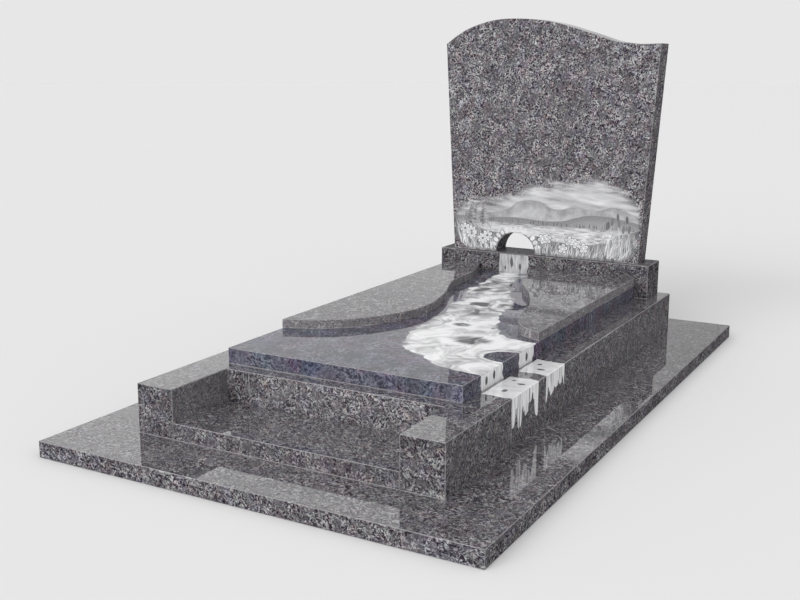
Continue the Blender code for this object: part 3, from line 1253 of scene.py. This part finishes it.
@dataclass(frozen=True)
class Mason:
    """Cuts the stones: the arris on every free edge, a factor that makes some blocks paler or darker, and
    where each lay in the quarry.

    Attributes:
        arris: width of the small chamfer on every free edge, and of the joint strip in front under a stone,
            which is painted pale as an edge highlight.
        sharp: least angle between faces that gets an arris.
        smooth: greatest angle between faces that is shaded as one curve.
        ground: height under which a stone stands on the ground, and not on another stone.
        upright: greatest part of an upright face's normal that points up or down.
        turned: part of a face's normal that points to the front or the back, where a side turns into a front.
        thin: thickness under which every upright face of a stone is finished as a side.
        painted_left_joint: the nodes whose front also has a joint strip at its left end, painted pale as an
            edge highlight.
        seam: how much of such a joint lies on the front, as a share of the chamfer's width.
        tones: factors that make some whole blocks paler or darker, by node; the front rail's factor is
            painted light against the shade in the recess.
    """

    arris: float = 0.0018
    sharp: float = math.radians(40)
    smooth: float = math.radians(30)
    ground: float = 0.01
    upright: float = 0.3
    turned: float = 0.5
    thin: float = 0.04
    painted_left_joint: tuple[str, ...] = ("front_rail", "kerb_right")
    seam: float = 0.35
    tones: tuple[tuple[str, float], ...] = (
        ("stele", 1.12), ("stele_base", 0.74), ("kerb_left", 0.86), ("kerb_right", 0.92),
        ("front_rail", 1.09), ("front_step", 0.93),
    )

    def cut(
        self, node: str, granite: Granite, etching: Etching | None = None, shape: BMesh | None = None,
        bed: bool = False,
    ) -> Object:
        """Cut the stone that replaces a solid of the frame.

        Args:
            node: the solid's name.
            granite: what the stone is cut from.
            etching: what is etched into it.
            shape: the sawn stone, in place, if it isn't a rectangular block.
            bed: whether its top is honed, as a bed for the stone on it.

        Returns:
            The finished stone, named after the solid.
        """
        low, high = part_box(node)
        shape = shape or sawn_block(low, high)
        if bed:
            max(shape.faces, key=lambda face: face.calc_center_median().z).material_index = BED_SLOT
        self.finish_faces(shape, node, low, high)
        granite = granite.toned(dict(self.tones).get(node, 1.0))
        materials = granite.materials(f"{granite.stone.value}_{node}", self.quarry_place(node), etching)
        if etching:
            self.cut_lines(shape, etching.lines(materials[0]))
        stone = new_piece(node + "_stone", shape, materials)
        stone.data.shade_smooth()
        stone.data.set_sharp_from_angle(angle=self.smooth)
        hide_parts(node)
        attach(stone, BODY)
        return stone

    def finish_faces(self, shape: BMesh, node: str, low: Vector, high: Vector) -> None:
        """Cut the arrises and the joint strips that are painted pale as an edge highlight, and give each face
        the slot of its finish.

        Args:
            shape: the sawn stone.
            node: the solid that it replaces.
            low: lowest corner of the solid's box.
            high: its highest corner.
        """
        # A joint that a stone doesn't have lies below the stone, or at its left side
        joint = low.z + self.arris if low.z > self.ground else low.z - 1.0
        end = low.x + self.arris * (1.0 + self.seam) if node in self.painted_left_joint else low.x
        shape.normal_update()
        edges = [
            edge for edge in shape.edges
            if edge.calc_face_angle(0.0) > self.sharp and max(corner.co.z for corner in edge.verts) > joint
        ]
        bmesh.ops.bevel(
            shape, geom=edges, offset=self.arris, offset_type="OFFSET", segments=1, profile=0.5,
            affect="EDGES", clamp_overlap=True, material=ARRIS_SLOT,
        )
        for point, normal in (((0.0, 0.0, joint), (0.0, 0.0, 1.0)), ((end, 0.0, 0.0), (1.0, 0.0, 0.0))):
            everything = [*shape.verts, *shape.edges, *shape.faces]
            bmesh.ops.bisect_plane(shape, geom=everything, plane_co=point, plane_no=normal)
        thin = high.z - low.z < self.thin
        for face in shape.faces:
            if face.material_index == TOP_SLOT and abs(face.normal.z) < self.upright:
                sideways = thin or abs(face.normal.y) < self.turned
                face.material_index = SIDE_SLOT if sideways else FRONT_SLOT
            middle = face.calc_center_median()
            # The strip at a front's foot, and at a listed stone's left end, gets the joint finish: painted
            # pale as an edge highlight along the joint
            if (middle.z < joint or middle.x < end) and face.normal.y < -self.turned:
                face.material_index = JOINT_SLOT

    @staticmethod
    def cut_lines(shape: BMesh, lines: Sequence[Line]) -> None:
        """Cut lines into the stone's front, flush with it: its triangles then keep the line's tone.

        A triangle that no outline holds lies in the arch or above the wavy top, so it is left out.

        Args:
            shape: the stone, with its arrises.
            lines: the lines, from the farthest to the nearest.
        """
        if not lines:
            return
        plain = (0.0, 0.0, 0.0, 1.0)
        layer = shape.loops.layers.float_color.new(LINE_LAYER)
        for face in shape.faces:
            for loop in face.loops:
                loop[layer] = plain
        facing = (face for face in shape.faces if face.normal.y < -FLAT)
        front = max(facing, key=lambda face: face.calc_area())
        rim = list(front.verts)
        corners = [corner.co.xz for corner in rim]
        outlines = [list(range(len(corners)))]
        for line in lines:
            outlines.append(list(range(len(corners), len(corners) + len(line.outline))))
            corners += line.outline
        points, _, triangles, sources, _, owners = delaunay_2d_cdt(corners, [], outlines, 1, 1e-5, True)
        depth, slot = rim[0].co.y, front.material_index
        placed = []
        for point, source in zip(points, sources):
            own = [index for index in source if index < len(rim)]
            placed.append(rim[own[0]] if own else shape.verts.new((point.x, depth, point.y)))
        shape.faces.remove(front)
        for triangle, owner in zip(triangles, owners):
            if not owner:
                continue
            face = shape.faces.new([placed[index] for index in triangle])
            face.material_index = slot
            top = max(owner)
            for loop in face.loops:
                loop[layer] = (lines[top - 1].tone, 1.0, 0.0, 1.0) if top else plain
        shape.normal_update()

    @staticmethod
    def quarry_place(node: str) -> Vector:
        """A place of its own in the quarry for each block, worked out from its name."""
        number = sum((index + 1) * ord(letter) for index, letter in enumerate(node))
        return Vector((number * 0.37 % 7.0, number * 0.61 % 5.0, number * 0.83 % 3.0))


def smooth_path(knots: Sequence[Pair], steps: int) -> list[Vector]:
    """Points on a smooth curve through all the knots.

    Args:
        knots: the points to pass through.
        steps: number of steps between two knots.

    Returns:
        The curve's points, both ends included.
    """
    points = [Vector(knot) for knot in knots]
    ends = [2 * points[0] - points[1], *points, 2 * points[-1] - points[-2]]
    path = []
    for before, start, end, after in zip(ends, ends[1:], ends[2:], ends[3:]):
        for step in range(steps):
            t = step / steps
            pull = (
                (end - before) * t
                + (2 * before - 5 * start + 4 * end - after) * t**2
                + (3 * start - before - 3 * end + after) * t**3
            )
            path.append(start + pull / 2)
    return path + [points[-1]]


def arc(centre: Pair, radius: float, start: float, end: float, steps: int) -> list[Vector]:
    """Points on a circle's arc between two angles in degrees, both ends included."""
    angles = [math.radians(start + (end - start) * step / steps) for step in range(steps + 1)]
    return [Vector((centre[0] + radius * math.cos(a), centre[1] + radius * math.sin(a))) for a in angles]


@dataclass(frozen=True)
class KerbFrame:
    """The base slab and the kerbs, step and rails on it.

    Attributes:
        plain: the nodes of the blocks between the two kerbs.
    """

    plain: tuple[str, ...] = ("front_step", "front_rail", "back_rail")

    def build(self, mason: Mason) -> list[Object]:
        """Cut all the blocks."""
        return [
            mason.cut("base_slab", BROWN),
            mason.cut("kerb_left", RECESS_BROWN_LIT),
            mason.cut("kerb_right", OUTER_BROWN_LIT, Spill()),
            *(mason.cut(node, BROWN) for node in self.plain),
        ]


@dataclass(frozen=True)
class TombTop:
    """The bluish tomb slab, and the two raised slabs with a winding channel between them.

    Attributes:
        left_edge: points along the left slab's inner edge, from the foot end to the headstone.
        right_edge: the same for the right slab.
        steps: steps between two of those points.
    """

    left_edge: Knots = (
        (-0.400, -0.412), (-0.250, -0.334), (-0.135, -0.185), (-0.083, 0.000),
        (-0.118, 0.215), (-0.197, 0.450), (-0.212, 0.660), (-0.268, 0.850),
    )
    right_edge: Knots = (
        (0.400, -0.155), (0.315, -0.097), (0.257, 0.030), (0.220, 0.205),
        (0.139, 0.395), (0.052, 0.545), (0.005, 0.710), (-0.046, 0.850),
    )
    steps: int = 16

    def build(self, mason: Mason) -> list[Object]:
        """Cut the tomb slab and the two raised slabs."""
        return [
            mason.cut("tomb_slab", BLUE, Watercourse()),
            self.bank(mason, "bank_left", self.left_edge),
            self.bank(mason, "bank_right", self.right_edge),
        ]

    def bank(self, mason: Mason, node: str, edge: Sequence[Pair]) -> Object:
        """One raised slab.

        Args:
            mason: cuts it.
            node: the solid that it replaces.
            edge: points along its inner edge.

        Returns:
            The finished slab.
        """
        low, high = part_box(node)
        inner = smooth_path(edge, self.steps)
        inner[-1].y = high.y
        side = low.x if edge[0][0] < 0 else high.x
        outline = [*inner, Vector((side, high.y))]
        shape = sawn_plate(outline, Matrix.Translation((0, 0, low.z)), high.z - low.z)
        return mason.cut(node, BANK_BROWN_LIT_SIDES, shape=shape)


@dataclass(frozen=True)
class Headstone:
    """The headstone on its base, with a wavy top and an arch through its foot.

    Attributes:
        crest: points along the top, from the left shoulder to the right, as x and z.
        foot_width: width at the foot, where the headstone is narrowest.
        steps: steps between two points of the top.
        arch_steps: steps round the arch.
    """

    crest: Knots = (
        (-0.450, 1.185), (-0.365, 1.238), (-0.255, 1.273), (-0.140, 1.281), (0.010, 1.266),
        (0.150, 1.227), (0.270, 1.189), (0.360, 1.177), (0.450, 1.178),
    )
    foot_width: float = 0.80
    steps: int = 16
    arch_steps: int = 48

    def build(self, mason: Mason) -> list[Object]:
        """Cut the base and the headstone."""
        low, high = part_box("stele")
        half = self.foot_width / 2
        outline = [
            Vector((-half, low.z)),
            *arc((ARCH_X, low.z), ARCH_RADIUS, 180, 0, self.arch_steps),
            Vector((half, low.z)),
            *reversed(smooth_path(self.crest, self.steps)),
        ]
        upright = Matrix.Translation((0, high.y, 0)) @ Matrix.Rotation(math.radians(90), 4, "X")
        stele = mason.cut("stele", BROWN, LakePicture(), sawn_plate(outline, upright, high.y - low.y))
        return [mason.cut("stele_base", BROWN, Cascade(), bed=True), stele]


@dataclass(frozen=True)
class Viewpoint:
    """The photograph's camera, solved from its straight edges.

    Attributes:
        place: where it stands.
        yaw: degrees it looks to the left of +Y.
        pitch: degrees it looks down.
        roll: degrees it leans.
        image: the photograph's width and height in pixels.
        focal_px: focal length in those pixels.
        axis_px: pixel that the optical axis goes through.
        sensor: width of the sensor in millimetres.
    """

    place: Vector = Vector((1.6080, -3.2317, 1.1072))
    yaw: float = 30.27
    pitch: float = 11.84
    roll: float = -0.0913
    image: tuple[int, int] = (800, 600)
    focal_px: float = 1073.84
    axis_px: Pair = (376.78, 288.02)
    sensor: float = 36.0

    def build(self) -> Object:
        """Set up the scene's camera."""
        yaw, pitch, roll = (math.radians(angle) for angle in (self.yaw, self.pitch, self.roll))
        ahead = Vector((-math.sin(yaw) * math.cos(pitch), math.cos(yaw) * math.cos(pitch), -math.sin(pitch)))
        level = Vector((math.cos(yaw), math.sin(yaw), 0.0))
        upward = level.cross(ahead)
        across = level * math.cos(roll) + upward * math.sin(roll)
        upright = upward * math.cos(roll) - level * math.sin(roll)
        width, height = self.image
        data = bpy.data.cameras.new("camera")
        data.sensor_width = self.sensor
        data.lens = self.focal_px * self.sensor / width
        data.shift_x = (width / 2 - self.axis_px[0]) / width
        data.shift_y = (self.axis_px[1] - height / 2) / width
        camera = new_object("camera", data)
        turn = Matrix((across, upright, -ahead)).transposed().to_4x4()
        camera.matrix_world = Matrix.Translation(self.place) @ turn
        bpy.context.scene.camera = camera
        return camera


@dataclass(frozen=True)
class Studio:
    """A pale floor in soft, even light from all round, and a broad soft light from the front left.

    Attributes:
        pale: brightness of the surroundings, which the floor matches.
        away: direction from the camera to the backdrop, as -X and +Y.
        lift: what is added to that brightness high up in the backdrop.
        left: how much brighter it is low down to the left, as a share.
        right: how much darker it is low down to the right.
        low: brightness of what the polish shows under the horizon and just over it.
        key: strength of the broad light.
        key_from: direction that it comes from.
        key_angle: how wide it is, in degrees.
        fill: strength of a second one from above.
        fill_from: direction that this one comes from.
        fill_angle: how wide this one is.
        floor_radius: radius of the floor.
        floor_drop: how far the floor lies under the base slab, so that the two never meet.
        floor_grey: its colour.
    """

    pale: float = 0.80
    away: Pair = (0.5, 0.866)
    lift: float = -0.15
    left: float = 0.14
    right: float = 0.46
    low: float = 0.05
    key: float = 3.0
    key_from: Vector = Vector((-0.25, -1.0, 0.28))
    key_angle: float = 50
    fill: float = 0.9
    fill_from: Vector = Vector((0.60, -0.50, 0.90))
    fill_angle: float = 90
    floor_radius: float = 60.0
    floor_drop: float = 0.0005
    floor_grey: Colour = (0.655, 0.655, 0.655)

    def build(self) -> None:
        """Make the surroundings, the light and the floor."""
        self.surroundings()
        self.broad_light("key", self.key, self.key_from, self.key_angle)
        self.broad_light("fill", self.fill, self.fill_from, self.fill_angle)
        self.floor()

    def surroundings(self) -> None:
        """White all round as a backdrop, and what lights the stone and shows in its polish."""
        world = bpy.data.worlds.new("studio")
        world.use_nodes = True
        bpy.context.scene.world = world
        sheet = Sheet(world.node_tree)
        across, along, rise = sheet.axes(sheet.node("TexCoord").outputs["Generated"])
        backdrop = (along * self.away[1] - across * self.away[0]).over(0.0, 0.7)
        glow = self.pale + rise.over(0.12, 0.30) * backdrop * self.lift
        slope = across.over(-0.48, -0.70) * self.left - across.over(-0.46, -0.18) * self.right
        glow = glow * (slope * backdrop * rise.over(0.50, 0.32) + 1.0)
        glow = self.low + (glow - self.low) * rise.over(0.04, 0.09)
        glow = glow.blend(self.pale, sheet.value("LightPath", output="Is Camera Ray"))
        back = sheet.node("Background", sockets={"Color": (1.0, 1.0, 1.0), "Strength": glow})
        sheet.node("OutputWorld", sockets={"Surface": back.outputs[0]})

    @staticmethod
    def broad_light(name: str, strength: float, source: Vector, angle: float) -> None:
        """A wide sun that only the stone's own colour shows, with no glare in the polish.

        Args:
            name: its name.
            strength: its strength.
            source: direction that it comes from.
            angle: how wide it is, in degrees.
        """
        data = bpy.data.lights.new(name, "SUN")
        data.energy = strength
        data.angle = math.radians(angle)
        light = new_object(name, data)
        light.rotation_mode = "QUATERNION"
        light.rotation_quaternion = source.to_track_quat("Z", "Y")
        light.visible_glossy = False

    def floor(self) -> None:
        """A plain pale disc, as bright as the surroundings at the horizon. The polish doesn't mirror it."""
        shape = bmesh.new()
        drop = Matrix.Translation((0, 0, -self.floor_drop))
        bmesh.ops.create_circle(shape, cap_ends=True, segments=96, radius=self.floor_radius, matrix=drop)
        material, sheet = new_material("pale_floor")
        finish_sheet(sheet, self.floor_grey, roughness=0.9, refraction=1.2)
        floor = new_piece("floor", shape, [material])
        floor.visible_glossy = False


def main() -> None:
    """Build the camera, the monument and the studio, in that order."""
    logging.basicConfig(level=logging.INFO, format="%(message)s")
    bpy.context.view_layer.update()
    Viewpoint().build()
    mason = Mason()
    for assembly in (KerbFrame(), TombTop(), Headstone()):
        for piece in assembly.build(mason):
            LOG.info("%s: %d faces", piece.name, len(piece.data.polygons))
    Studio().build()
    bpy.context.scene.view_settings.view_transform = "Standard"


if __name__ == "__main__":
    main()
